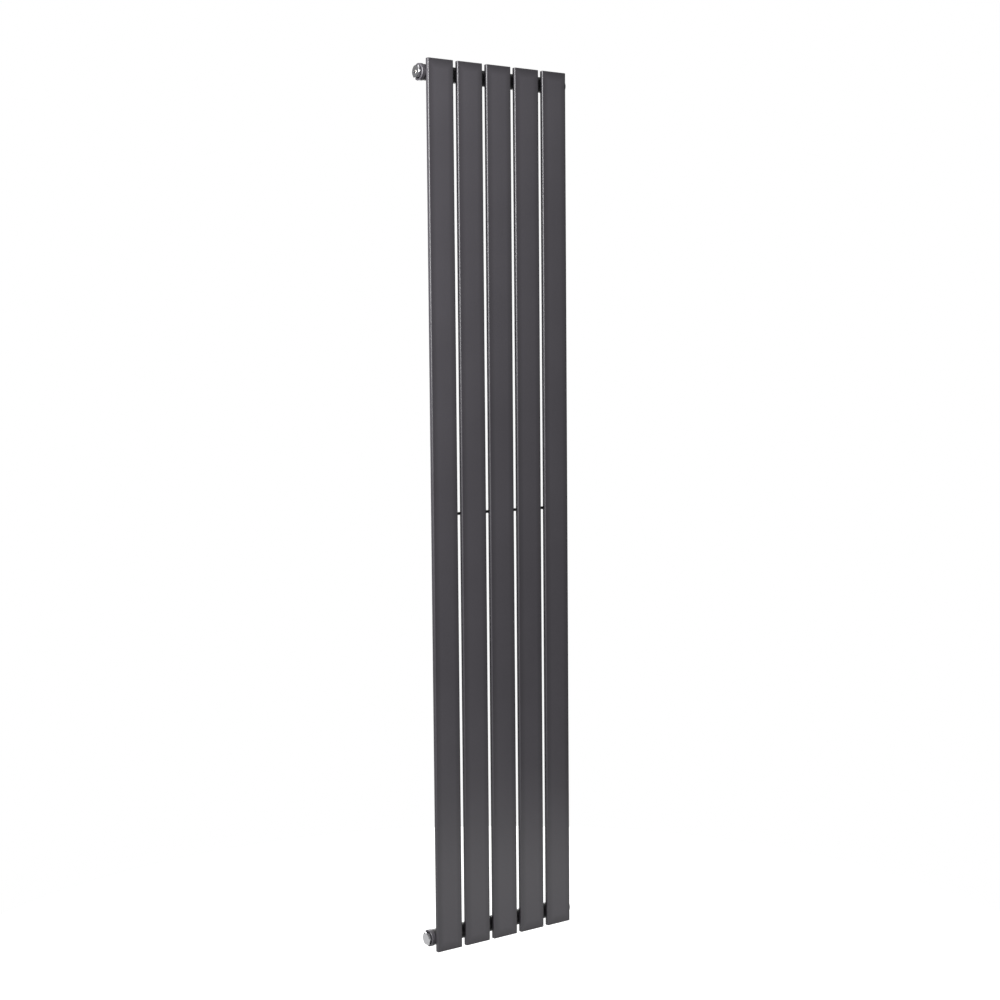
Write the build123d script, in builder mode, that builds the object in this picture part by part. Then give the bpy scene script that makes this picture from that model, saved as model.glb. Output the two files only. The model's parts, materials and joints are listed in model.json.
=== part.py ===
"""Tall single-row radiator: flat panels welded in front of two round headers.

Millimetres, +Z up, +X to the right for someone facing the radiator, which faces -Y.
The origin is the centre of the four rear hanging bosses, in the plane of their faces.
"""
import math
import os

from build123d import *

os.makedirs("parts", exist_ok=True)

# Overall layout
overall_height = 1800.0
panel_count = 5
panel_width = 60.0
panel_gap = 10.0

# Flat panel tubes and their end caps
panel_thickness = 10.0
panel_wall = 1.5
panel_corner = 2.5
cap_thickness = 3.0
cap_edge = 1.0
cap_spigot = 4.0
cap_clearance = 0.1

# Headers, with drawn necks that open into the panels
header_diameter = 32.0
header_wall = 1.5
header_inset = 25.0
neck_diameter = 18.0
neck_wall = 2.0
neck_clearance = 0.05

# Threaded bushes in the header ends (G 1/2, drawn at the thread's minor diameter)
bush_lip = 1.0
bush_reach = 7.5
bush_edge = 0.8
bush_spigot = 12.0
bush_clearance = 0.05
port_bore = 18.63
port_mouth = 1.0

# Brace across the backs of the panels, its upper side at half height
brace_diameter = 6.0
brace_setback = 10.0

# Hanging bosses on the backs of the headers (M8, drawn at the tapping diameter)
boss_diameter = 16.0
boss_reach = 12.0
boss_spacing = 220.0
boss_edge = 1.0
boss_bore = 6.8
boss_floor = 1.5

# Plugs in the left header ends: hexagon head, sealing ring and shank
plug_shoulder = 2.685
plug_head = 4.4
plug_crown_inset = 0.6
plug_crown_taper = 60.0
plug_edge = 0.25
plug_shank = 10.0
plug_clearance = 0.05
ring_thickness = 1.6
ring_width = 3.8
ring_clearance = 0.385
ring_edge = 0.6

# Bleed screw in the top plug
key_square = 5.0
key_room = 1.5
key_recess_depth = 3.6
key_edge = 0.4
key_sink = 0.4
key_gap = 0.2
key_slot = 1.0
screw_diameter = 6.0
screw_clearance = 0.05
air_groove = 1.5
seat_bore = 2.5
seat_wall = 3.0

# Swivelling seal in the tip of the bleed screw
seal_relief = 0.5
seal_thickness = 1.5
seal_stem_diameter = 2.0
seal_stem_length = 2.0
seal_gap = 0.05

# Places that follow from the sizes above
LEFT = -1
RIGHT = 1
panel_pitch = panel_width + panel_gap
overall_width = panel_count * panel_width + (panel_count - 1) * panel_gap
panel_places = [panel_pitch * (i - (panel_count - 1) / 2) for i in range(panel_count)]
header_y = -boss_reach - header_diameter / 2
panel_back_y = header_y - header_diameter / 2
panel_middle_y = panel_back_y - panel_thickness / 2
header_levels = {
    "top": overall_height / 2 - header_inset,
    "bottom": -overall_height / 2 + header_inset,
}
tube_length = overall_height - 2 * cap_thickness
plug_face_x = -overall_width / 2 - bush_reach - ring_thickness - plug_head
bush_diameter = header_diameter + 2 * bush_lip
plug_flats = port_bore + 2 * plug_shoulder
ring_bore = port_bore + 2 * ring_clearance
key_recess = key_square * math.sqrt(2) + 2 * key_room


def finish(piece, name):
    """Label one finished piece and write it to its own file."""
    piece.part.label = name
    export_step(piece.part, f"parts/{name}.step")


def outward(side, x, z):
    """Plane across a header's axis at x, facing away from the radiator's middle."""
    return Plane(origin=(x, header_y, z), x_dir=(0, 1, 0), z_dir=(side, 0, 0))


# Panel tubes

for number, place in enumerate(panel_places, start=1):
    with BuildPart() as panel:
        with BuildSketch(Plane.XY.offset(-tube_length / 2)):
            with Locations((place, panel_middle_y)):
                RectangleRounded(panel_width, panel_thickness, panel_corner)
                RectangleRounded(
                    panel_width - 2 * panel_wall,
                    panel_thickness - 2 * panel_wall,
                    panel_corner - panel_wall,
                    mode=Mode.SUBTRACT,
                )
        extrude(amount=tube_length)
        with BuildSketch(Plane.XZ.offset(-panel_back_y)):
            with Locations(*[(place, level) for level in header_levels.values()]):
                Circle(neck_diameter / 2 + neck_clearance)
        extrude(amount=panel_thickness / 2, mode=Mode.SUBTRACT)
    finish(panel, f"panel_{number}")

    for end in header_levels:
        facing = 1 if end == "top" else -1
        with BuildPart() as cap:
            cap_plane = Plane(
                origin=(place, panel_middle_y, facing * tube_length / 2),
                x_dir=(1, 0, 0),
                z_dir=(0, 0, facing),
            )
            with BuildSketch(cap_plane):
                RectangleRounded(panel_width, panel_thickness, panel_corner)
            extrude(amount=cap_thickness)
            rim = cap.faces().sort_by(Axis.Z)[-1 if end == "top" else 0].edges()
            fillet(rim, cap_edge)
            with BuildSketch(cap_plane):
                RectangleRounded(
                    panel_width - 2 * (panel_wall + cap_clearance),
                    panel_thickness - 2 * (panel_wall + cap_clearance),
                    panel_corner - panel_wall - cap_clearance,
                )
            extrude(amount=-cap_spigot)
        finish(cap, f"panel_{number}_{end}_cap")


# Headers and the bushes in their ends

for end, level in header_levels.items():
    with BuildPart() as header:
        with BuildSketch(outward(RIGHT, -overall_width / 2, level)):
            Circle(header_diameter / 2)
        extrude(amount=overall_width)
        with BuildSketch(Plane.XZ.offset(-header_y)):
            with Locations(*[(place, level) for place in panel_places]):
                Circle(neck_diameter / 2)
        extrude(amount=header_diameter / 2 + panel_wall)
        with BuildSketch(outward(RIGHT, -overall_width / 2, level)):
            Circle(header_diameter / 2 - header_wall)
        extrude(amount=overall_width, mode=Mode.SUBTRACT)
        with BuildSketch(Plane.XZ.offset(-header_y)):
            with Locations(*[(place, level) for place in panel_places]):
                Circle(neck_diameter / 2 - neck_wall)
        extrude(amount=header_diameter / 2 + panel_wall, mode=Mode.SUBTRACT)
    finish(header, f"{end}_header")

    for hand, side in (("left", LEFT), ("right", RIGHT)):
        with BuildPart() as bush:
            header_end = outward(side, side * overall_width / 2, level)
            with BuildSketch(header_end):
                Circle(bush_diameter / 2)
            extrude(amount=bush_reach)
            outer_rim = bush.faces().sort_by(Axis.X)[-1 if side == RIGHT else 0].edges()
            chamfer(outer_rim, bush_edge)
            with BuildSketch(header_end):
                Circle(header_diameter / 2 - header_wall - bush_clearance)
            extrude(amount=-bush_spigot)
            with BuildSketch(header_end.offset(-bush_spigot)):
                Circle(port_bore / 2)
            extrude(amount=bush_spigot + bush_reach, mode=Mode.SUBTRACT)
            mouth = bush.faces().sort_by(Axis.X)[-1 if side == RIGHT else 0].inner_wires().edges()
            chamfer(mouth, port_mouth)
        finish(bush, f"{end}_{hand}_bush")

        with BuildPart() as boss:
            boss_x = side * boss_spacing / 2
            with BuildSketch(Plane.XZ):
                with Locations((boss_x, level)):
                    Circle(boss_diameter / 2)
            extrude(amount=boss_reach + header_diameter / 2)
            back_rim = boss.faces().sort_by(Axis.Y)[-1].edges()
            chamfer(back_rim, boss_edge)
            with BuildSketch(outward(RIGHT, boss_x - boss_diameter, level)):
                Circle(header_diameter / 2)
            extrude(amount=2 * boss_diameter, mode=Mode.SUBTRACT)
            with BuildSketch(Plane.XZ):
                with Locations((boss_x, level)):
                    Circle(boss_bore / 2)
            extrude(amount=boss_reach - boss_floor, mode=Mode.SUBTRACT)
        finish(boss, f"{end}_{hand}_hanging_boss")


# Brace

brace_length = overall_width - 2 * brace_setback
with BuildPart() as brace:
    with BuildSketch(Plane.YZ.offset(-brace_length / 2)):
        with Locations((panel_back_y + brace_diameter / 2, -brace_diameter / 2)):
            Circle(brace_diameter / 2)
    extrude(amount=brace_length)
finish(brace, "brace_bar")


# Plugs and sealing rings in the left header ends

def plug_body(level):
    """Hexagon head and shank of a plug, seated on its sealing ring."""
    with BuildPart() as body:
        head_base = outward(LEFT, plug_face_x + plug_head, level)
        with BuildSketch(head_base):
            RegularPolygon(plug_flats / 2, 6, major_radius=False)
        extrude(amount=plug_head)
        with BuildSketch(head_base.offset(plug_head)):
            Circle(plug_flats / 2 - plug_crown_inset)
        extrude(amount=-plug_head, taper=-plug_crown_taper, mode=Mode.INTERSECT)
        face_rim = body.faces().sort_by(Axis.X)[0].edges()
        fillet(face_rim, plug_edge)
        with BuildSketch(head_base):
            Circle(port_bore / 2 - plug_clearance)
        extrude(amount=-plug_shank)
    return body


def sealing_ring(level):
    """Rubber ring between a plug's head and the face of its bush."""
    section_radius = (ring_bore + ring_width) / 2
    bush_face = Vector(-overall_width / 2 - bush_reach, header_y, level)
    with BuildPart() as ring:
        with BuildSketch(Plane(origin=bush_face, x_dir=(-1, 0, 0), z_dir=(0, 1, 0))):
            with Locations((ring_thickness / 2, section_radius)):
                RectangleRounded(ring_thickness, ring_width, ring_edge)
        revolve(axis=Axis(bush_face, (1, 0, 0)))
    return ring


finish(plug_body(header_levels["bottom"]), "blanking_plug")
finish(sealing_ring(header_levels["bottom"]), "blanking_plug_ring")
finish(sealing_ring(header_levels["top"]), "air_vent_ring")

vent_level = header_levels["top"]
vent_face = outward(LEFT, plug_face_x, vent_level)
vent_length = plug_head + plug_shank
seat_depth = vent_length - seat_wall

with BuildPart() as air_vent:
    add(plug_body(vent_level).part)
    with BuildSketch(vent_face):
        Circle(key_recess / 2)
    extrude(amount=-key_recess_depth, mode=Mode.SUBTRACT)
    with BuildSketch(vent_face):
        Circle(screw_diameter / 2 + screw_clearance)
        with Locations((0, -screw_diameter / 2 - screw_clearance)):
            Circle(air_groove / 2)
    extrude(amount=-seat_depth, mode=Mode.SUBTRACT)
    with BuildSketch(vent_face):
        Circle(seat_bore / 2)
    extrude(amount=-vent_length, mode=Mode.SUBTRACT)
finish(air_vent, "air_vent")

# The screw is shut at rest, with its seal just clear of the seat.
seal_face = vent_face.offset(-seat_depth + seal_gap)
screw_tip = seal_face.offset(seal_thickness + seal_gap)
key_base = vent_face.offset(-key_recess_depth + key_gap)
key_length = key_recess_depth - key_gap - key_sink

with BuildPart() as bleed_screw:
    with BuildSketch(screw_tip):
        Circle(screw_diameter / 2)
    extrude(amount=(key_base.origin - screw_tip.origin).length)
    with BuildSketch(key_base):
        Rectangle(key_square, key_square)
    extrude(amount=key_length)
    key_rim = bleed_screw.faces().sort_by(Axis.X)[0].edges()
    chamfer(key_rim, key_edge)
    with BuildSketch(key_base.offset(key_length)):
        Rectangle(2 * key_square, key_slot)
    extrude(amount=-key_slot, mode=Mode.SUBTRACT)
    with BuildSketch(screw_tip):
        Circle(seal_stem_diameter / 2 + seal_gap)
    extrude(amount=seal_stem_length + seal_gap, mode=Mode.SUBTRACT)
finish(bleed_screw, "bleed_screw")

with BuildPart() as bleed_seal:
    with BuildSketch(seal_face):
        Circle(screw_diameter / 2 - seal_relief)
    extrude(amount=seal_thickness)
    with BuildSketch(seal_face.offset(seal_thickness)):
        Circle(seal_stem_diameter / 2)
    extrude(amount=seal_stem_length)
finish(bleed_seal, "bleed_seal")
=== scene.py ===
"""Finishes, weld beads, threads, plugs and stage of a tall flat panel radiator.

Everything is in metres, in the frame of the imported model: +Z up, the panels face -Y,
and the origin is the centre of the four rear hanging bosses.
"""
import json
import math
import random

import bmesh
import bpy
from bpy.props import FloatProperty, FloatVectorProperty, IntProperty, PointerProperty
from mathutils import Matrix, Vector


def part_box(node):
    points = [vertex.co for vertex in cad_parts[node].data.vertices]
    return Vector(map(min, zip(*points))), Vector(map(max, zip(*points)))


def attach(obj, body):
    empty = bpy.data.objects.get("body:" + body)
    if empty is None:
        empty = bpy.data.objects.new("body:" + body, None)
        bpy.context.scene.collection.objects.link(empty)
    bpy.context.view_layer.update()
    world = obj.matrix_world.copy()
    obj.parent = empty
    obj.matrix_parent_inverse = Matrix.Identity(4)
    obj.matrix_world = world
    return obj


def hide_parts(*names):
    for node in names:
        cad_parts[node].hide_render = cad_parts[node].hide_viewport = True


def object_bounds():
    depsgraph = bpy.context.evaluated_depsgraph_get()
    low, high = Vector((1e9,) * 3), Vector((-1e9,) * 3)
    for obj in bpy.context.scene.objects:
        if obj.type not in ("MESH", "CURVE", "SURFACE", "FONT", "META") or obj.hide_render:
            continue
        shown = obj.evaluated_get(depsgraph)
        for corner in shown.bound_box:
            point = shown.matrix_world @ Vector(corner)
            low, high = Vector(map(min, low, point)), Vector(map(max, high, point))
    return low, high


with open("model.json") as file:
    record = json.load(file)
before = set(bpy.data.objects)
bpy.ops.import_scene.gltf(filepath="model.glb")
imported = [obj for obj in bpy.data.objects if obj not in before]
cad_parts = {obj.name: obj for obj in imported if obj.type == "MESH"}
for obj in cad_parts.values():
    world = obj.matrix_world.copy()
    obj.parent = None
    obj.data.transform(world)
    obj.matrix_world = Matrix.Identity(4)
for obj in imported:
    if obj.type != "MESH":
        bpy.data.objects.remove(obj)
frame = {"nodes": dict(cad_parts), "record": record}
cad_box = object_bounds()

bl_info = {
    "name": "Flat Panel Radiator",
    "version": (1, 0, 0),
    "blender": (4, 5, 0),
    "location": "3D View > Sidebar > Radiator",
    "description": "Coat, welds, threads, plugs and stage of a tall flat panel radiator",
    "category": "Object",
}

MM = 0.001
BODY = "radiator"
ENDS = ("top", "bottom")
HANDS = ("left", "right")
BOXES = {name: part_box(name) for name in frame["nodes"]}
CAPS = tuple(sorted(name for name in BOXES if name.endswith("_cap")))
PANELS = tuple(sorted(name for name in BOXES if name.startswith("panel_") and name not in CAPS))

SHARP_ANGLE = 35.0  # degrees between two faces above which their edge is shaded sharp
EDGE_WIDTH = 0.8 * MM  # reach of the wear along an edge
PAINTED_SHADE_END_REACH = 16 * MM  # height of the painted shade at each end of a panel
THREAD_RUN_OUT = 0.5  # pitches over which a thread starts and stops
FLANK_SLOPE = 1.3  # steepness of a thread's flanks
FLANK_ROOT = 0.15  # offset of the flanks that leaves roots and crests flat
BEAD_DRIFT = 0.03  # share by which a bead's size varies along it
BEAD_HEIGHT = 0.8  # height of a bead as a share of half its width
BEAD_TIP = 0.02  # least share of a bead's section at its open ends
BEAD_SETTLE = 0.93  # how close to the joint a header bead lies, 1 just touching both sides
BRACE_BEAD = 0.62  # share for a brace bead's size, and again for drawing it in to its joint
BRACE_SEED = 40  # first random seed of each kind of bead
BUSH_SEED = 70
BOSS_SEED = 90


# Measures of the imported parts

def header_radius():
    """Outside radius of a header tube."""
    low, high = BOXES["top_header"]
    return (high.z - low.z) / 2


def header_centre(end):
    """Point on a header's axis at the middle of the radiator."""
    low, high = BOXES[f"{end}_header"]
    return Vector((0.0, high.y - header_radius(), (low.z + high.z) / 2))


def header_half_length():
    """Distance from the middle of a header to its end."""
    return BOXES["top_header"][1].x


def panel_back():
    """Y of the flat backs of the panels."""
    return BOXES[PANELS[0]][1].y


def panel_middles():
    """X of each panel's middle."""
    return [sum((corner.x for corner in BOXES[name]), 0.0) / 2 for name in PANELS]


# Mesh building

def new_piece(name, verts, faces, material, slot, body=BODY):
    """A closed smooth mesh that rides on a body and takes the given material; the slot is not used."""
    mesh = bpy.data.meshes.new(name)
    mesh.from_pydata([tuple(v) for v in verts], [], faces)
    cleaned = bmesh.new()
    cleaned.from_mesh(mesh)
    bmesh.ops.recalc_face_normals(cleaned, faces=cleaned.faces)
    for face in cleaned.faces:
        face.smooth = True
    for edge in cleaned.edges:
        if edge.is_manifold and edge.calc_face_angle() > math.radians(SHARP_ANGLE):
            edge.smooth = False
    cleaned.to_mesh(mesh)
    cleaned.free()
    piece = bpy.data.objects.new(name, mesh)
    bpy.context.scene.collection.objects.link(piece)
    mesh.materials.append(material)
    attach(piece, body)
    return piece


class Turned:
    """Rings of vertices about an axis, for turned and threaded parts."""

    def __init__(self, base, along, columns):
        self.base = Vector(base)
        self.along = Vector(along).normalized()
        self.across = Vector((0, 0, 1)) if abs(self.along.z) < 0.5 else Vector((1, 0, 0))
        self.side = self.along.cross(self.across)
        self.columns = columns
        self.rings = []

    def angles(self):
        """Angle of each column."""
        return [2 * math.pi * j / self.columns for j in range(self.columns)]

    def point(self, radius, height, angle):
        """Point at a radius, a height along the axis and an angle about it."""
        spoke = self.across * math.cos(angle) + self.side * math.sin(angle)
        return self.base + self.along * height + spoke * radius

    def ring(self, radius, height):
        """Add a ring; radius and height are numbers or functions of the angle."""
        values = []
        for angle in self.angles():
            r = radius(angle) if callable(radius) else radius
            h = height(angle) if callable(height) else height
            values.append(self.point(r, h, angle))
        self.rings.append(values)

    def corner(self, start, end, centre, size, steps=4):
        """Add rings along a rounded corner from one angle to another, in degrees."""
        for i in range(steps + 1):
            turn = math.radians(start + (end - start) * i / steps)
            self.ring(centre[0] + size * math.cos(turn), centre[1] + size * math.sin(turn))

    def loop_mesh(self):
        """Vertices and faces of a ring-shaped solid: the last ring joins the first."""
        verts = [v for ring in self.rings for v in ring]
        return verts, self._bands(len(self.rings))

    def capped_mesh(self):
        """Vertices and faces of a solid whose first and last rings close on the axis."""
        verts = [v for ring in self.rings for v in ring]
        faces = self._bands(len(self.rings) - 1)
        for ring_index, ring in ((0, self.rings[0]), (len(self.rings) - 1, self.rings[-1])):
            pole = len(verts)
            verts.append(sum(ring, Vector()) / len(ring))
            first = ring_index * self.columns
            for j in range(self.columns):
                faces.append((first + j, first + (j + 1) % self.columns, pole))
        return verts, faces

    def _bands(self, count):
        faces = []
        total = len(self.rings)
        for i in range(count):
            low, high = i * self.columns, ((i + 1) % total) * self.columns
            for j in range(self.columns):
                k = (j + 1) % self.columns
                faces.append((low + j, low + k, high + k, high + j))
        return faces


def thread_rings(turned, radius, depth, pitch, start, end, rows_per_pitch=10):
    """Add the rings of a threaded bore; the thread runs out at both ends."""
    rows = int(abs(end - start) / pitch * rows_per_pitch)
    for i in range(rows + 1):
        height = start + (end - start) * i / rows
        run_out = min(1.0, min(i, rows - i) / (rows_per_pitch * THREAD_RUN_OUT))

        def wavy(angle, height=height, run_out=run_out):
            phase = (height / pitch - angle / (2 * math.pi)) % 1.0
            flank = abs(2 * phase - 1)
            return radius + depth * run_out * min(1.0, max(0.0, flank * FLANK_SLOPE - FLANK_ROOT))

        turned.ring(wavy, height)


def weld_bead(path, outs, settings, seed, closed=False):
    """Vertices and faces of a rippled bead; outs points away from the joint at each path point."""
    chance = random.Random(seed)
    count = len(path)
    columns = settings.bead_columns
    verts, faces = [], []
    travelled = 0.0
    for i, (place, out) in enumerate(zip(path, outs)):
        before = path[i - 1] if (i > 0 or closed) else path[0]
        after = path[(i + 1) % count] if (i < count - 1 or closed) else path[-1]
        ahead = (after - before).normalized()
        if i:
            travelled += (place - path[i - 1]).length
        side = ahead.cross(out).normalized()
        ripple = 1 + settings.ripple_depth * math.cos(2 * math.pi * travelled / settings.ripple_pitch)
        size = settings.bead_size * ripple * chance.uniform(1 - BEAD_DRIFT, 1 + BEAD_DRIFT)
        if not closed:
            edge = min(i, count - 1 - i) / (count - 1) * 2
            size *= math.sqrt(max(BEAD_TIP, min(1.0, edge * settings.end_taper)))
        for j in range(columns):
            turn = 2 * math.pi * j / columns
            rise = size * BEAD_HEIGHT * math.sin(turn)
            verts.append(place + side * (size * math.cos(turn)) + out * rise)
    spans = count if closed else count - 1
    for i in range(spans):
        low, high = i * columns, ((i + 1) % count) * columns
        for j in range(columns):
            k = (j + 1) % columns
            faces.append((low + j, low + k, high + k, high + j))
    if not closed:
        faces.append(tuple(range(columns))[::-1])
        faces.append(tuple(range((count - 1) * columns, count * columns)))
    return verts, faces


def joined(parts):
    """One list of vertices and faces from several."""
    verts, faces = [], []
    for part_verts, part_faces in parts:
        shift = len(verts)
        verts += part_verts
        faces += [tuple(shift + v for v in face) for face in part_faces]
    return verts, faces


# Shader node groups

def new_group(name, inputs, outputs):
    """An empty shader node group with named sockets; returns it with its two ends."""
    group = bpy.data.node_groups.new(name, "ShaderNodeTree")
    for label, kind, default in inputs:
        socket = group.interface.new_socket(label, in_out="INPUT", socket_type=kind)
        if default is not None:
            socket.default_value = default
    for label, kind in outputs:
        group.interface.new_socket(label, in_out="OUTPUT", socket_type=kind)
    return group, group.nodes.new("NodeGroupInput"), group.nodes.new("NodeGroupOutput")


def math_node(tree, operation, first, second=None, third=None, clamp=False):
    """A Math node; each operand is a socket or a number."""
    node = tree.nodes.new("ShaderNodeMath")
    node.operation = operation
    node.use_clamp = clamp
    for socket, value in zip(node.inputs, (first, second, third)):
        if value is None:
            continue
        if isinstance(value, (int, float)):
            socket.default_value = value
        else:
            tree.links.new(value, socket)
    return node.outputs["Value"]


def noise_node(tree, vector, scale, detail, roughness=0.5):
    """A Noise Texture; scale is a socket or a number."""
    node = tree.nodes.new("ShaderNodeTexNoise")
    node.inputs["Detail"].default_value = detail
    node.inputs["Roughness"].default_value = roughness
    tree.links.new(vector, node.inputs["Vector"])
    if isinstance(scale, (int, float)):
        node.inputs["Scale"].default_value = scale
    else:
        tree.links.new(scale, node.inputs["Scale"])
    return node.outputs["Fac"]


def spread(tree, value, low, high, to_low=0.0, to_high=1.0):
    """A Map Range from low..high to to_low..to_high."""
    node = tree.nodes.new("ShaderNodeMapRange")
    tree.links.new(value, node.inputs["Value"])
    for label, number in (("From Min", low), ("From Max", high), ("To Min", to_low), ("To Max", to_high)):
        node.inputs[label].default_value = number
    return node.outputs["Result"]


def mix_colour(tree, factor, first, second, blend="MIX"):
    """A colour Mix node; each operand is a socket, a colour or a number."""
    node = tree.nodes.new("ShaderNodeMix")
    node.data_type = "RGBA"
    node.blend_type = blend
    sockets = {s.identifier: s for s in node.inputs}
    for label, value in (("Factor_Float", factor), ("A_Color", first), ("B_Color", second)):
        if isinstance(value, (int, float, tuple)):
            sockets[label].default_value = value
        else:
            tree.links.new(value, sockets[label])
    return next(s for s in node.outputs if s.identifier == "Result_Color")


def coat_grain_group():
    """Powder coat: fine grain over the slow waves of orange peel, and soft mottling."""
    group, start, end = new_group(
        "coat_grain",
        (("Vector", "NodeSocketVector", None), ("Grain", "NodeSocketFloat", 1400.0),
         ("Peel", "NodeSocketFloat", 260.0), ("Mottle", "NodeSocketFloat", 7.0)),
        (("Tone", "NodeSocketFloat"), ("Gloss Shift", "NodeSocketFloat"), ("Height", "NodeSocketFloat")),
    )
    vector = start.outputs["Vector"]
    grain = noise_node(group, vector, start.outputs["Grain"], 2.0, 0.6)
    peel = noise_node(group, vector, start.outputs["Peel"], 1.0)
    mottle = noise_node(group, vector, start.outputs["Mottle"], 3.0)
    height = math_node(group, "MULTIPLY_ADD", grain, 0.35, peel)
    tone = math_node(group, "MULTIPLY_ADD", mottle, 0.6, math_node(group, "MULTIPLY", grain, 0.4))
    shift = math_node(group, "SUBTRACT", math_node(group, "MULTIPLY_ADD", mottle, 0.7,
                                                  math_node(group, "MULTIPLY", peel, 0.3)), 0.5)
    group.links.new(tone, end.inputs["Tone"])
    group.links.new(shift, end.inputs["Gloss Shift"])
    group.links.new(height, end.inputs["Height"])
    return group


def edge_wear_group():
    """Mask of the outer edges, where coat is thin and plating is rubbed, broken up by noise."""
    group, start, end = new_group(
        "edge_wear",
        (("Vector", "NodeSocketVector", None), ("Breakup", "NodeSocketFloat", 400.0),
         ("Amount", "NodeSocketFloat", 1.0)),
        (("Mask", "NodeSocketFloat"),),
    )
    bevel = group.nodes.new("ShaderNodeBevel")
    bevel.samples = 4
    bevel.inputs["Radius"].default_value = EDGE_WIDTH
    surface = group.nodes.new("ShaderNodeNewGeometry")
    dot = group.nodes.new("ShaderNodeVectorMath")
    dot.operation = "DOT_PRODUCT"
    group.links.new(bevel.outputs["Normal"], dot.inputs[0])
    group.links.new(surface.outputs["Normal"], dot.inputs[1])
    turned = spread(group, dot.outputs["Value"], 0.995, 0.9)
    breakup = noise_node(group, start.outputs["Vector"], start.outputs["Breakup"], 4.0, 0.65)
    broken = math_node(group, "MULTIPLY", turned, spread(group, breakup, 0.35, 0.7))
    mask = math_node(group, "MULTIPLY", broken, start.outputs["Amount"], clamp=True)
    group.links.new(mask, end.inputs["Mask"])
    return group


def dust_group():
    """Mask of faint dust on faces that look up."""
    group, start, end = new_group(
        "settled_dust",
        (("Vector", "NodeSocketVector", None), ("Amount", "NodeSocketFloat", 0.3)),
        (("Mask", "NodeSocketFloat"),),
    )
    surface = group.nodes.new("ShaderNodeNewGeometry")
    parts = group.nodes.new("ShaderNodeSeparateXYZ")
    group.links.new(surface.outputs["Normal"], parts.inputs["Vector"])
    facing_up = spread(group, parts.outputs["Z"], 0.45, 0.95)
    patches = spread(group, noise_node(group, start.outputs["Vector"], 160.0, 6.0, 0.7), 0.35, 0.75)
    mask = math_node(group, "MULTIPLY", math_node(group, "MULTIPLY", facing_up, patches),
                     start.outputs["Amount"], clamp=True)
    group.links.new(mask, end.inputs["Mask"])
    return group


def turning_group():
    """Fine rings left by a lathe about the axis of the header that a point is nearest to."""
    group, start, end = new_group(
        "turning_marks",
        (("Vector", "NodeSocketVector", None), ("Spacing", "NodeSocketFloat", 0.25 * MM)),
        (("Height", "NodeSocketFloat"), ("Radius", "NodeSocketFloat")),
    )
    centre = header_centre("top")
    parts = group.nodes.new("ShaderNodeSeparateXYZ")
    group.links.new(start.outputs["Vector"], parts.inputs["Vector"])
    across = math_node(group, "SUBTRACT", parts.outputs["Y"], centre.y)
    upward = math_node(group, "SUBTRACT", math_node(group, "ABSOLUTE", parts.outputs["Z"]), centre.z)
    radius = math_node(group, "SQRT", math_node(
        group, "ADD", math_node(group, "POWER", across, 2.0), math_node(group, "POWER", upward, 2.0)))
    wobble = noise_node(group, start.outputs["Vector"], 90.0, 2.0)
    rings = math_node(group, "DIVIDE", radius, start.outputs["Spacing"])
    wave = math_node(group, "SINE", math_node(group, "MULTIPLY_ADD", wobble, 1.5,
                                              math_node(group, "MULTIPLY", rings, 2 * math.pi)))
    group.links.new(wave, end.inputs["Height"])
    group.links.new(radius, end.inputs["Radius"])
    return group


def panel_crown_and_shade_group():
    """The faint crown that rolling leaves across each panel, and a mask of painted shade at its margins
    and ends.
    """
    group, start, end = new_group(
        "panel_crown_and_shade",
        (("Vector", "NodeSocketVector", None),),
        (("Height", "NodeSocketFloat"), ("Margin", "NodeSocketFloat")),
    )
    middles = panel_middles()
    pitch = middles[1] - middles[0]
    half = (BOXES[PANELS[0]][1].x - BOXES[PANELS[0]][0].x) / 2
    parts = group.nodes.new("ShaderNodeSeparateXYZ")
    group.links.new(start.outputs["Vector"], parts.inputs["Vector"])
    wrapped = math_node(group, "WRAP", parts.outputs["X"], pitch / 2, -pitch / 2)
    share = math_node(group, "DIVIDE", math_node(group, "ABSOLUTE", wrapped), half)
    crown = math_node(group, "SUBTRACT", 1.0, math_node(group, "POWER", share, 2.0))
    group.links.new(crown, end.inputs["Height"])
    tip = BOXES[PANELS[0]][1].z
    # painted shade: a mask that rises towards the sides and ends of each panel, where the coat is darkened
    painted_end_shade = spread(group, math_node(group, "ABSOLUTE", parts.outputs["Z"]), tip - PAINTED_SHADE_END_REACH, tip)
    painted_shade_mask = math_node(group, "MAXIMUM", spread(group, share, 0.5, 1.0), painted_end_shade)
    group.links.new(painted_shade_mask, end.inputs["Margin"])
    return group


def place_group(tree, name, **values):
    """A group node in a material, fed with the part's own coordinates."""
    node = tree.nodes.new("ShaderNodeGroup")
    node.node_tree = bpy.data.node_groups[name]
    coordinates = tree.nodes.get("Part Coordinates")
    if coordinates is None:
        coordinates = tree.nodes.new("ShaderNodeTexCoord")
        coordinates.name = "Part Coordinates"
    tree.links.new(coordinates.outputs["Object"], node.inputs["Vector"])
    for label, value in values.items():
        node.inputs[label.replace("_", " ").title()].default_value = value
    return node


def new_material(name):
    """A material with an empty Principled BSDF; returns it, its tree and its shader."""
    material = bpy.data.materials.new(name)
    material.use_nodes = True
    tree = material.node_tree
    return material, tree, tree.nodes["Principled BSDF"]


def bump(tree, shader, height, strength, distance):
    """Bump the shader's normal by a height."""
    node = tree.nodes.new("ShaderNodeBump")
    node.inputs["Strength"].default_value = strength
    node.inputs["Distance"].default_value = distance
    tree.links.new(height, node.inputs["Height"])
    tree.links.new(node.outputs["Normal"], shader.inputs["Normal"])


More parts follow.
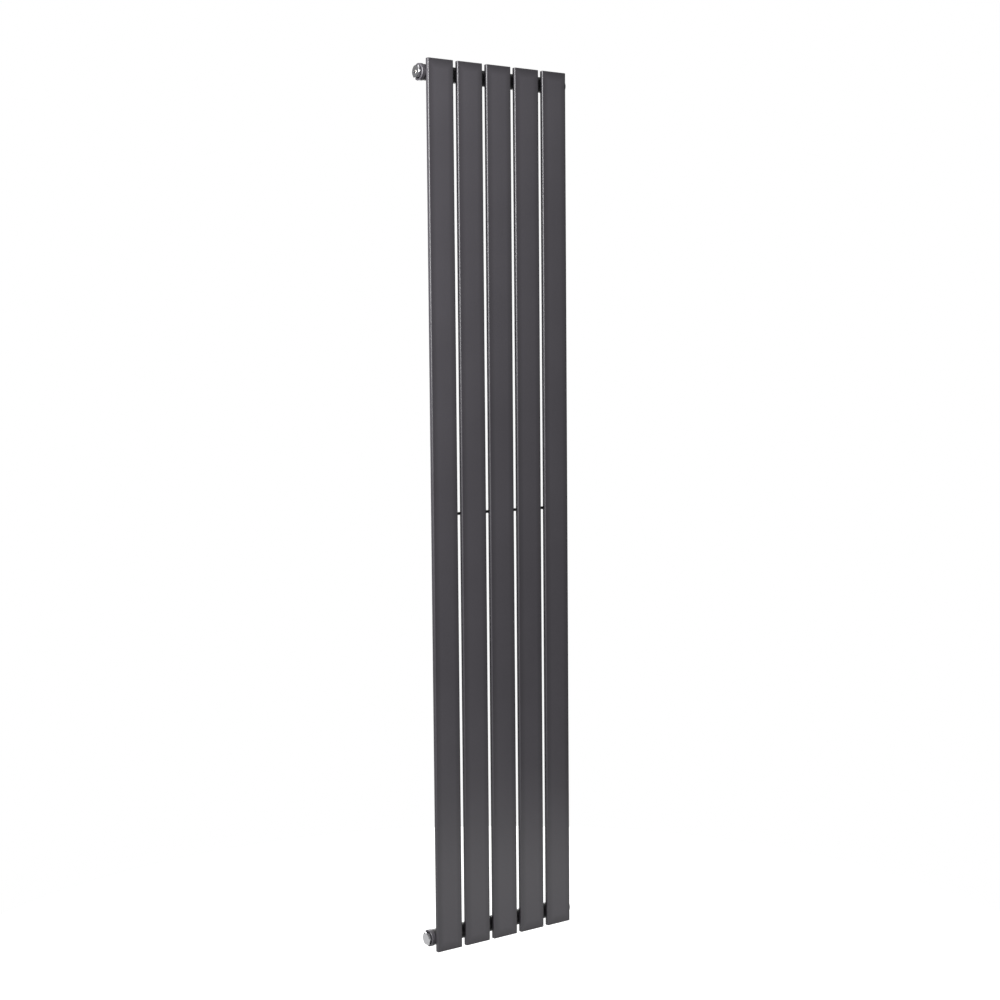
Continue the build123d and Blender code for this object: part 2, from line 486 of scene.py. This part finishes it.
def coat_material(name, coat, tone=1.0, roughness_shift=0.0, wear=0.25, peel=1.0, dust=0.25):
    """Satin powder coat with its colour scaled by a tone, which on the caps and frame is painted shade."""
    material, tree, shader = new_material(name)
    grain = place_group(tree, "coat_grain", grain=coat.grain_scale, peel=coat.peel_scale)
    edges = place_group(tree, "edge_wear", amount=wear)
    dusting = place_group(tree, "settled_dust", amount=dust)
    base = Vector(coat.colour) * tone
    dark = (*(base * (1 - coat.mottling)), 1.0)
    light = (*(base * (1 + coat.mottling)), 1.0)
    thin = (*(base * 2.2), 1.0)
    dusty = (*Vector(coat.dust_colour), 1.0)
    colour = mix_colour(tree, spread(tree, grain.outputs["Tone"], 0.3, 0.7), dark, light)
    colour = mix_colour(tree, edges.outputs["Mask"], colour, thin)
    colour = mix_colour(tree, dusting.outputs["Mask"], colour, dusty)
    tree.links.new(colour, shader.inputs["Base Color"])
    rough = coat.roughness + roughness_shift
    roughness = math_node(tree, "MULTIPLY_ADD", grain.outputs["Gloss Shift"], coat.gloss_variation, rough)
    roughness = math_node(tree, "MULTIPLY_ADD", dusting.outputs["Mask"], 0.3, roughness, clamp=True)
    tree.links.new(roughness, shader.inputs["Roughness"])
    shader.inputs["Specular IOR Level"].default_value = 0.5
    shader.inputs["Coat Weight"].default_value = 0.12
    shader.inputs["Coat Roughness"].default_value = 0.3
    bump(tree, shader, grain.outputs["Height"], 0.6 * peel, 0.05 * MM)
    return material


def crowned_and_shaded(material, coat):
    """Add the crown and the painted shade at the margins and ends of the panels to a coat."""
    tree = material.node_tree
    shader = tree.nodes["Principled BSDF"]
    crown = place_group(tree, "panel_crown_and_shade")
    colour = shader.inputs["Base Color"].links[0].from_socket
    # painted shade: the coat's colour is darkened towards the margins and ends of each panel
    painted_shade_mask = math_node(tree, "MULTIPLY", crown.outputs["Margin"], coat.painted_shade_depth)
    shaded = mix_colour(tree, painted_shade_mask, colour, (0.0, 0.0, 0.0, 1.0))
    tree.links.new(shaded, shader.inputs["Base Color"])
    fine = shader.inputs["Normal"].links[0].from_node
    broad = tree.nodes.new("ShaderNodeBump")
    broad.inputs["Strength"].default_value = 1.0
    broad.inputs["Distance"].default_value = coat.crown
    tree.links.new(crown.outputs["Height"], broad.inputs["Height"])
    tree.links.new(broad.outputs["Normal"], fine.inputs["Normal"])
    return material


def plated_material(name, colour, roughness, rings, wear):
    """Bright plating over turned brass, with smears and fine turning rings."""
    material, tree, shader = new_material(name)
    marks = place_group(tree, "turning_marks")
    grain = place_group(tree, "coat_grain", grain=2600.0, peel=420.0, mottle=120.0)
    edges = place_group(tree, "edge_wear", amount=wear, breakup=900.0)
    base = Vector(colour)
    tinted = mix_colour(tree, spread(tree, grain.outputs["Tone"], 0.3, 0.75),
                        (*(base * 0.93), 1.0), (*base, 1.0))
    worn = mix_colour(tree, edges.outputs["Mask"], tinted, (*(base * 1.08), 1.0))
    tree.links.new(worn, shader.inputs["Base Color"])
    shader.inputs["Metallic"].default_value = 1.0
    smears = math_node(tree, "MULTIPLY_ADD", grain.outputs["Gloss Shift"], 0.18, roughness, clamp=True)
    tree.links.new(smears, shader.inputs["Roughness"])
    height = math_node(tree, "MULTIPLY_ADD", marks.outputs["Height"], rings, grain.outputs["Height"])
    bump(tree, shader, height, 0.35, 0.008 * MM)
    return material


def thread_material():
    """Bare oiled steel of a cut thread."""
    material, tree, shader = new_material("bare_thread")
    grain = place_group(tree, "coat_grain", grain=3000.0, peel=900.0, mottle=250.0)
    edges = place_group(tree, "edge_wear", amount=0.6, breakup=1500.0)
    colour = mix_colour(tree, spread(tree, grain.outputs["Tone"], 0.35, 0.7),
                        (0.21, 0.19, 0.17, 1.0), (0.42, 0.40, 0.37, 1.0))
    colour = mix_colour(tree, edges.outputs["Mask"], colour, (0.62, 0.60, 0.57, 1.0))
    tree.links.new(colour, shader.inputs["Base Color"])
    shader.inputs["Metallic"].default_value = 1.0
    roughness = math_node(tree, "MULTIPLY_ADD", grain.outputs["Gloss Shift"], 0.3, 0.34, clamp=True)
    tree.links.new(roughness, shader.inputs["Roughness"])
    bump(tree, shader, grain.outputs["Height"], 0.4, 0.02 * MM)
    return material


def soft_material(name, dark, light, roughness, specular):
    """Moulded rubber or plastic with a faint grain and handling marks."""
    material, tree, shader = new_material(name)
    grain = place_group(tree, "coat_grain", grain=2200.0, peel=500.0, mottle=180.0)
    edges = place_group(tree, "edge_wear", amount=0.4, breakup=1200.0)
    colour = mix_colour(tree, spread(tree, grain.outputs["Tone"], 0.3, 0.7), (*dark, 1.0), (*light, 1.0))
    worn = mix_colour(tree, edges.outputs["Mask"], colour, (*(Vector(light) * 1.3), 1.0))
    tree.links.new(worn, shader.inputs["Base Color"])
    rough = math_node(tree, "MULTIPLY_ADD", grain.outputs["Gloss Shift"], 0.25, roughness, clamp=True)
    tree.links.new(rough, shader.inputs["Roughness"])
    shader.inputs["Specular IOR Level"].default_value = specular
    bump(tree, shader, grain.outputs["Height"], 0.5, 0.03 * MM)
    return material


def finish_node(name, material):
    """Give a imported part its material."""
    piece = frame["nodes"][name]
    piece.data.materials.clear()
    piece.data.materials.append(material)


# Settings

class CoatSettings(bpy.types.PropertyGroup):
    """Satin powder coat of the welded parts."""
    colour: FloatVectorProperty(
        name="Colour", description="Colour of the powder coat", subtype="COLOR",
        size=3, min=0.0, max=1.0, default=(0.060, 0.056, 0.064))
    dust_colour: FloatVectorProperty(
        name="Dust colour", description="Colour of settled dust", subtype="COLOR",
        size=3, min=0.0, max=1.0, default=(0.20, 0.19, 0.18))
    roughness: FloatProperty(
        name="Roughness", description="Roughness of the satin coat", min=0.0, max=1.0, default=0.40)
    gloss_variation: FloatProperty(
        name="Gloss variation", description="How far the roughness drifts over a part", default=0.16)
    mottling: FloatProperty(
        name="Mottling", description="How far the colour drifts over a part", default=0.07)
    grain_scale: FloatProperty(
        name="Grain", description="Fineness of the coat's grain", default=1400.0)
    crown: FloatProperty(
        name="Crown", description="Height of the crown across a panel", unit="LENGTH", default=0.35 * MM)
    # painted shade: how far the coat's colour is darkened at the panel margins and ends
    painted_shade_depth: FloatProperty(
        name="Margins", description="How much darker the coat is at a panel's margins", default=0.38)
    peel_scale: FloatProperty(
        name="Orange peel", description="Fineness of the coat's slow waves", default=300.0)


class WeldSettings(bpy.types.PropertyGroup):
    """Weld beads of the frame."""
    bead_size: FloatProperty(
        name="Bead", description="Half the width of a weld bead", unit="LENGTH", default=1.9 * MM)
    ripple_pitch: FloatProperty(
        name="Ripple pitch", description="Distance between the ripples of a bead", unit="LENGTH",
        default=1.6 * MM)
    ripple_depth: FloatProperty(
        name="Ripple depth", description="Height of the ripples as a share of the bead", default=0.07)
    end_taper: FloatProperty(
        name="End taper", description="How quickly a bead's ends swell to full size", default=8.0)
    bead_columns: IntProperty(
        name="Bead columns", description="Faces around a bead", default=12)
    panel_run: FloatProperty(
        name="Run", description="Length of a bead along a header on one panel", unit="LENGTH",
        default=46 * MM)


class ThreadSettings(bpy.types.PropertyGroup):
    """Threads of the ports and hanging bosses."""
    port_pitch: FloatProperty(
        name="Port pitch", description="Pitch of the port thread", unit="LENGTH", default=1.814 * MM)
    port_depth: FloatProperty(
        name="Port depth", description="Depth of the port thread", unit="LENGTH", default=1.0 * MM)
    boss_pitch: FloatProperty(
        name="Boss pitch", description="Pitch of the hanging boss thread", unit="LENGTH",
        default=1.25 * MM)
    boss_depth: FloatProperty(
        name="Boss depth", description="Depth of the hanging boss thread", unit="LENGTH",
        default=0.55 * MM)


class StageSettings(bpy.types.PropertyGroup):
    """Floor, lights and camera."""
    floor_gap: FloatProperty(
        name="Floor gap", description="Height of the panels above the floor", unit="LENGTH",
        default=0.15)
    floor_radius: FloatProperty(
        name="Floor radius", description="Reach of the pale floor", unit="LENGTH", default=1.35)
    camera_place: FloatVectorProperty(
        name="Camera", description="Place of the camera", subtype="TRANSLATION",
        default=(-2.004, -2.876, 0.295))
    camera_heading: FloatProperty(
        name="Heading", description="Turn of the camera from the normal of the panels", subtype="ANGLE",
        default=math.radians(35.299))
    camera_tilt: FloatProperty(
        name="Tilt", description="Downward tilt of the camera", subtype="ANGLE",
        default=math.radians(4.543))
    camera_roll: FloatProperty(
        name="Roll", description="Roll of the camera", subtype="ANGLE", default=math.radians(-0.485))
    lens: FloatProperty(
        name="Lens", description="Focal length of the camera in millimetres", default=60.68)


# Operators

class RADIATOR_OT_groups(bpy.types.Operator):
    """Make the shader node groups that the materials share"""
    bl_idname = "radiator.groups"
    bl_label = "Shared surface effects"

    def execute(self, context):
        coat_grain_group()
        edge_wear_group()
        dust_group()
        turning_group()
        panel_crown_and_shade_group()
        return {"FINISHED"}


class RADIATOR_OT_coat(bpy.types.Operator):
    """Coat the panels, caps, headers, brace and left bushes"""
    bl_idname = "radiator.coat"
    bl_label = "Powder coat"

    def execute(self, context):
        coat = context.scene.radiator_coat
        panel_coat = crowned_and_shaded(coat_material("panel_coat", coat), coat)
        # painted shade: the caps are a darker copy of the coat, standing for the shade along the panel
        # ends
        cap_coat = coat_material("cap_coat", coat, tone=0.6, roughness_shift=0.06)
        # painted shade: the headers and brace are a much darker copy of the coat, standing for the shade
        # behind the panels
        frame_coat = coat_material("frame_coat", coat, tone=0.25, roughness_shift=0.08, dust=0.2)
        bush_coat = coat_material("bush_coat", coat, tone=0.9, wear=0.4)
        coat_material("weld_coat", coat, tone=0.9, roughness_shift=0.03, wear=0.3, peel=1.5)
        for name in PANELS:
            finish_node(name, panel_coat)
        for name in CAPS:
            finish_node(name, cap_coat)
        for name in ("top_header", "bottom_header", "brace_bar"):
            finish_node(name, frame_coat)
        for end in ENDS:
            finish_node(f"{end}_left_bush", bush_coat)
        return {"FINISHED"}


class RADIATOR_OT_header_welds(bpy.types.Operator):
    """Lay the beads that join the headers to the backs of the panels"""
    bl_idname = "radiator.header_welds"
    bl_label = "Header welds"

    def execute(self, context):
        weld = context.scene.radiator_weld
        steps = 90
        size = weld.bead_size
        # a bead that touches both the round header and the flat back lies 2 * sqrt(R * r) off the axis
        offset = 2 * math.sqrt(header_radius() * size) * BEAD_SETTLE
        for end in ENDS:
            centre = header_centre(end)
            beads = []
            for number, middle in enumerate(panel_middles()):
                for above in (-1, 1):
                    drift = random.Random(number * 2 + above).uniform(-1.0, 1.0) * MM
                    path = [
                        Vector((
                            middle + drift + weld.panel_run * (i / steps - 0.5),
                            panel_back() + size * 0.5,
                            centre.z + above * offset,
                        ))
                        for i in range(steps + 1)
                    ]
                    out = Vector((0, 0.75, above * 0.66)).normalized()
                    beads.append(weld_bead(path, [out] * len(path), weld, number * 2 + above))
            verts, faces = joined(beads)
            new_piece(f"{end}_header_welds", verts, faces, bpy.data.materials["weld_coat"], "frame_coat")
        return {"FINISHED"}


class RADIATOR_OT_brace_welds(bpy.types.Operator):
    """Lay the short beads that join the brace bar to each panel"""
    bl_idname = "radiator.brace_welds"
    bl_label = "Brace welds"

    def execute(self, context):
        weld = context.scene.radiator_weld
        low, high = BOXES["brace_bar"]
        radius = (high.z - low.z) / 2
        level = (high.z + low.z) / 2
        steps = 24
        run = 11 * MM
        size = weld.bead_size * BRACE_BEAD
        beads = []
        for number, middle in enumerate(panel_middles()):
            reach = max(low.x + run, min(high.x - run, middle))
            for above in (-1, 1):
                path = [
                    Vector((reach + run * (i / steps - 0.5), panel_back() + size * 0.6,
                            level + above * (radius + size * 0.25)))
                    for i in range(steps + 1)
                ]
                out = Vector((0, 0.7, above * 0.71)).normalized()
                bead = weld_bead(path, [out] * len(path), weld, BRACE_SEED + number * 2 + above)
                shrunk = [
                    Vector((v.x, panel_back() + (v.y - panel_back()) * BRACE_BEAD,
                            level + above * radius + (v.z - level - above * radius) * BRACE_BEAD))
                    for v in bead[0]
                ]
                beads.append((shrunk, bead[1]))
        verts, faces = joined(beads)
        new_piece("brace_welds", verts, faces, bpy.data.materials["weld_coat"], "frame_coat")
        return {"FINISHED"}


class RADIATOR_OT_bush_welds(bpy.types.Operator):
    """Lay the beads round the headers where the bushes are welded in"""
    bl_idname = "radiator.bush_welds"
    bl_label = "Bush welds"

    def execute(self, context):
        weld = context.scene.radiator_weld
        steps = 150
        opening = math.radians(52)  # half the angle left bare where the panel is in the way
        sunk = 0.6 * MM
        inset = 0.5 * MM
        for end in ENDS:
            centre = header_centre(end)
            beads = []
            for number, side in enumerate((-1, 1)):
                path, outs = [], []
                for i in range(steps + 1):
                    turn = -math.pi / 2 + opening + (2 * math.pi - 2 * opening) * i / steps
                    spoke = Vector((0, math.sin(turn), math.cos(turn)))
                    place = centre + spoke * (header_radius() - sunk)
                    place.x = side * (header_half_length() - inset)
                    path.append(place)
                    outs.append((spoke + Vector((-side * 0.7, 0, 0))).normalized())
                beads.append(weld_bead(path, outs, weld, BUSH_SEED + number))
            verts, faces = joined(beads)
            new_piece(f"{end}_bush_welds", verts, faces, bpy.data.materials["weld_coat"], "bush_coat")
        return {"FINISHED"}


class RADIATOR_OT_ports(bpy.types.Operator):
    """Turn the right-hand bushes and cut their port threads"""
    bl_idname = "radiator.ports"
    bl_label = "Threaded ports"

    def execute(self, context):
        thread = context.scene.radiator_thread
        coat = bpy.data.materials["bush_coat"]
        steel = thread_material()
        port = next(m for m in frame["record"]["mounts"] if m["name"] == "top_port")
        bore = port["dims"]["r_mm"] * MM
        liner = bore + 1.35 * MM  # where the coated shell meets the bare thread
        columns = 96
        for end in ENDS:
            node = f"{end}_right_bush"
            low, high = BOXES[node]
            centre = header_centre(end)
            inner, face = low.x, high.x
            collar = (high.z - low.z) / 2
            shoulder = header_half_length()
            spigot = header_radius() - 1.55 * MM
            lead = 0.5 * MM
            edge = 0.8 * MM
            edge_set = 0.1 * MM
            mouth = 1.0 * MM
            corner = 0.3 * MM
            mouth_corner = 0.15 * MM
            base = Vector((0, centre.y, centre.z))
            shell = Turned(base, (1, 0, 0), columns)
            shell.ring(liner, inner)
            shell.ring(spigot - lead, inner)
            shell.ring(spigot, inner + lead)
            shell.ring(spigot, shoulder)
            shell.corner(-90, 0, (collar - corner, shoulder + corner), corner)
            shell.corner(0, 45, (collar - corner, face - edge - edge_set), corner)
            shell.corner(45, 90, (collar - edge - edge_set, face - corner), corner)
            shell.ring(liner, face)
            turned = new_piece(f"{end}_port_bush", *shell.loop_mesh(), coat, "bush_coat")
            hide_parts(node)
            cut = Turned(base, (1, 0, 0), columns)
            cut.ring(liner, inner)
            thread_rings(cut, bore, thread.port_depth, thread.port_pitch, inner, face - mouth)
            cut.corner(180, 135, (bore + mouth + mouth_corner, face - mouth_corner), mouth_corner, steps=2)
            cut.ring(bore + mouth, face)
            cut.ring(liner, face)
            threaded = new_piece(f"{end}_port_thread", *cut.loop_mesh(), steel, "bush_coat")
            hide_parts(node)
        return {"FINISHED"}


class RADIATOR_OT_hanging_bosses(bpy.types.Operator):
    """Turn the hanging bosses, cut their threads and lay their welds"""
    bl_idname = "radiator.hanging_bosses"
    bl_label = "Hanging bosses"

    def execute(self, context):
        thread = context.scene.radiator_thread
        weld = context.scene.radiator_weld
        coat = bpy.data.materials["bush_coat"]
        steel = bpy.data.materials["bare_thread"]
        pattern = next(m for m in frame["record"]["mounts"] if m["name"] == "hanging_bosses")
        bore = pattern["dims"]["hole_r_mm"] * MM
        root = bore + 0.8 * MM  # where the coated shell meets the bare thread
        depth = 10.5 * MM
        columns = 72
        steps = 80
        for end in ENDS:
            centre = header_centre(end)
            for hand in HANDS:
                node = f"{end}_{hand}_hanging_boss"
                low, high = BOXES[node]
                radius = (high.x - low.x) / 2
                middle = (high.x + low.x) / 2
                face = high.y
                edge = 1.0 * MM
                edge_set = 0.2 * MM
                corner = 0.4 * MM
                floor = face - depth
                base = Vector((middle, 0, centre.z))

                def saddle(reach, shell_centre=centre):
                    def height(angle):
                        rise = reach * math.cos(angle)
                        return shell_centre.y + math.sqrt(header_radius() ** 2 - rise ** 2)
                    return height

                shell = Turned(base, (0, 1, 0), columns)
                shell.ring(root, floor)
                shell.ring(root, face)
                shell.corner(90, 45, (radius - edge - edge_set, face - corner), corner)
                shell.corner(45, 0, (radius - corner, face - edge - edge_set), corner)
                shell.ring(radius, saddle(radius))
                for share in (0.8, 0.6, 0.4, 0.2):
                    shell.ring(radius * share, saddle(radius * share))
                turned = new_piece(f"{end}_{hand}_boss", *shell.capped_mesh(), coat, "bush_coat")
                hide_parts(node)

                cut = Turned(base, (0, 1, 0), columns)
                cut.ring(0.3 * MM, floor - 0.5 * MM)
                cut.ring(bore, floor + 0.05 * MM)
                thread_rings(cut, bore, thread.boss_depth, thread.boss_pitch,
                             floor + 0.1 * MM, face - 0.5 * MM)
                cut.ring(bore + 0.5 * MM, face)
                cut.ring(root, face)
                cut.ring(root, floor - 0.2 * MM)
                cut.ring(root * 0.5, floor - 0.9 * MM)
                threaded = new_piece(f"{end}_{hand}_boss_thread", *cut.capped_mesh(), steel, "bush_coat")
                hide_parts(node)

                path, outs = [], []
                for i in range(steps):
                    turn = 2 * math.pi * i / steps
                    reach = radius + 0.4 * MM
                    rise = reach * math.sin(turn)
                    height = centre.y + math.sqrt(header_radius() ** 2 - rise ** 2)
                    spoke = Vector((math.cos(turn), 0, math.sin(turn)))
                    path.append(Vector((middle, height + 0.3 * MM, centre.z)) + spoke * reach)
                    outs.append((spoke + Vector((0, 0.8, 0))).normalized())
                bead = weld_bead(path, outs, weld, BOSS_SEED, closed=True)
                new_piece(f"{end}_{hand}_boss_weld", *bead, bpy.data.materials["weld_coat"], "bush_coat")
        return {"FINISHED"}


class RADIATOR_OT_plugs(bpy.types.Operator):
    """Machine and plate the air vent and the blanking plug"""
    bl_idname = "radiator.plugs"
    bl_label = "Plugs and air vent"

    def execute(self, context):
        plating = plated_material("chrome_plate", (0.74, 0.74, 0.76), 0.15, 0.5, 0.5)
        screw_plate = plated_material("bleed_screw_plate", (0.70, 0.68, 0.64), 0.22, 1.2, 0.8)
        rubber = soft_material("ring_rubber", (0.004, 0.004, 0.004), (0.010, 0.010, 0.011), 0.6, 0.2)
        seal = soft_material("seal_plastic", (0.72, 0.72, 0.70), (0.85, 0.85, 0.83), 0.4, 0.5)
        for name, material in (
            ("bleed_screw", screw_plate),
            ("bleed_seal", seal),
            ("air_vent_ring", rubber),
            ("blanking_plug_ring", rubber),
            ("air_vent", plating),
            ("blanking_plug", plating),
        ):
            finish_node(name, material)
        return {"FINISHED"}


class RADIATOR_OT_stage(bpy.types.Operator):
    """Set up the floor, the light and the camera"""
    bl_idname = "radiator.stage"
    bl_label = "Floor, light and camera"

    def execute(self, context):
        stage = context.scene.radiator_stage
        self.camera(context, stage)
        self.floor(context, stage)
        self.lamps(context)
        self.surroundings(context)
        context.scene.view_settings.view_transform = "Standard"
        return {"FINISHED"}

    def camera(self, context, stage):
        """Camera by place, heading, tilt and roll."""
        lens = bpy.data.cameras.new("camera")
        lens.lens = stage.lens
        camera = bpy.data.objects.new("camera", lens)
        context.scene.collection.objects.link(camera)
        turn = (
            Matrix.Rotation(-stage.camera_heading, 4, "Z")
            @ Matrix.Rotation(math.pi / 2 - stage.camera_tilt, 4, "X")
            @ Matrix.Rotation(stage.camera_roll, 4, "Z")
        )
        camera.matrix_world = Matrix.Translation(stage.camera_place) @ turn
        context.scene.camera = camera

    def floor(self, context, stage):
        """A round pale floor under the radiator."""
        level = cad_box[0][2] - stage.floor_gap
        sides = 64
        rim = [
            (stage.floor_radius * math.cos(2 * math.pi * i / sides),
             stage.floor_radius * math.sin(2 * math.pi * i / sides), level)
            for i in range(sides)
        ]
        mesh = bpy.data.meshes.new("floor")
        mesh.from_pydata(rim, [], [tuple(range(sides))])
        floor = bpy.data.objects.new("floor", mesh)
        context.scene.collection.objects.link(floor)
        material, tree, shader = new_material("floor")
        shader.inputs["Base Color"].default_value = (0.32, 0.32, 0.32, 1.0)
        shader.inputs["Roughness"].default_value = 0.9
        # the floor glows fully only for the camera, so that bright metal doesn't mirror a white floor
        seen = tree.nodes.new("ShaderNodeLightPath")
        glow = math_node(tree, "MULTIPLY_ADD", seen.outputs["Is Camera Ray"], 0.8, 0.16)
        tree.links.new(glow, shader.inputs["Emission Color"])
        shader.inputs["Emission Strength"].default_value = 1.0
        mesh.materials.append(material)

    def lamps(self, context):
        """A tall key from the left, weak lights above and below, and a broad one behind."""
        for name, place, target, size, power in (
            ("key", (-1.75, -0.57, 1.1), (-0.1, 0.0, 0.5), (0.7, 1.4), 116.0),
            ("top", (0.55, -0.6, 1.75), (-0.1, 0.0, 0.8), (1.4, 0.8), 3.2),
            ("rear", (1.1, 2.1, 0.1), (0.0, 0.0, 0.0), (1.6, 1.6), 34.0),
            ("bounce", (0.3, -0.6, -1.0), (0.0, 0.0, -0.75), (0.9, 0.3), 0.8),
        ):
            light = bpy.data.lights.new(name, "AREA")
            light.shape = "RECTANGLE"
            light.size, light.size_y = size
            light.energy = power
            lamp = bpy.data.objects.new(name, light)
            context.scene.collection.objects.link(lamp)
            lamp.location = place
            lamp.visible_camera = False
            aim = Vector(target) - Vector(place)
            lamp.rotation_euler = aim.to_track_quat("-Z", "Y").to_euler()

    def surroundings(self, context):
        """A studio brighter in front, to the left and above; plain white to the camera."""
        world = bpy.data.worlds.new("studio")
        context.scene.world = world
        world.use_nodes = True
        tree = world.node_tree
        tree.nodes.clear()
        direction = tree.nodes.new("ShaderNodeTexCoord")
        parts = tree.nodes.new("ShaderNodeSeparateXYZ")
        tree.links.new(direction.outputs["Generated"], parts.inputs["Vector"])
        front = spread(tree, parts.outputs["Y"], 0.4, -0.4, 0.12, 1.0)
        left = spread(tree, parts.outputs["X"], 0.2, -0.7, 0.25, 1.0)
        high = spread(tree, parts.outputs["Z"], -0.3, 0.6, 0.55, 1.3)
        # a patch at the left rear, which the faces of the plugs mirror
        behind = math_node(tree, "MULTIPLY", spread(tree, parts.outputs["Y"], 0.3, 0.7),
                           spread(tree, parts.outputs["X"], -0.35, -0.55, 0.0, 0.42))
        above = math_node(tree, "MULTIPLY_ADD", spread(tree, parts.outputs["Z"], 0.35, 0.7), 0.3, left)
        around = math_node(tree, "MULTIPLY_ADD", front, above, behind)
        level = math_node(tree, "MULTIPLY", around, high)
        studio = tree.nodes.new("ShaderNodeBackground")
        tree.links.new(math_node(tree, "MULTIPLY", level, 0.8), studio.inputs["Strength"])
        paper = tree.nodes.new("ShaderNodeBackground")
        seen = tree.nodes.new("ShaderNodeLightPath")
        choice = tree.nodes.new("ShaderNodeMixShader")
        tree.links.new(seen.outputs["Is Camera Ray"], choice.inputs["Fac"])
        tree.links.new(studio.outputs["Background"], choice.inputs[1])
        tree.links.new(paper.outputs["Background"], choice.inputs[2])
        paper.inputs["Color"].default_value = (1.0, 1.0, 1.0, 1.0)
        end = tree.nodes.new("ShaderNodeOutputWorld")
        tree.links.new(choice.outputs["Shader"], end.inputs["Surface"])


class RADIATOR_PT_sidebar(bpy.types.Panel):
    """Radiator pieces and their settings"""
    bl_idname = "RADIATOR_PT_sidebar"
    bl_label = "Flat Panel Radiator"
    bl_space_type = "VIEW_3D"
    bl_region_type = "UI"
    bl_category = "Radiator"

    def draw(self, context):
        layout = self.layout
        for name in SETTINGS:
            group = getattr(context.scene, name)
            box = layout.box()
            for label in group.bl_rna.properties.keys():
                if label not in ("name", "rna_type"):
                    box.prop(group, label)
        for operator in OPERATORS:
            layout.operator(operator.bl_idname)


SETTINGS = {
    "radiator_coat": CoatSettings,
    "radiator_weld": WeldSettings,
    "radiator_thread": ThreadSettings,
    "radiator_stage": StageSettings,
}
OPERATORS = (
    RADIATOR_OT_groups,
    RADIATOR_OT_coat,
    RADIATOR_OT_header_welds,
    RADIATOR_OT_brace_welds,
    RADIATOR_OT_bush_welds,
    RADIATOR_OT_ports,
    RADIATOR_OT_hanging_bosses,
    RADIATOR_OT_plugs,
    RADIATOR_OT_stage,
)
CLASSES = (*SETTINGS.values(), *OPERATORS, RADIATOR_PT_sidebar)


def register():
    """Register the classes and put the settings on the scene."""
    for cls in CLASSES:
        bpy.utils.register_class(cls)
    for name, settings in SETTINGS.items():
        setattr(bpy.types.Scene, name, PointerProperty(type=settings))


def unregister():
    """Undo what register does."""
    for name in SETTINGS:
        delattr(bpy.types.Scene, name)
    for cls in reversed(CLASSES):
        bpy.utils.unregister_class(cls)


def main():
    """Build every piece and the stage."""
    register()
    bpy.ops.radiator.groups()
    bpy.ops.radiator.coat()
    bpy.ops.radiator.header_welds()
    bpy.ops.radiator.brace_welds()
    bpy.ops.radiator.bush_welds()
    bpy.ops.radiator.ports()
    bpy.ops.radiator.hanging_bosses()
    bpy.ops.radiator.plugs()
    bpy.ops.radiator.stage()


if __name__ == "__main__":
    main()
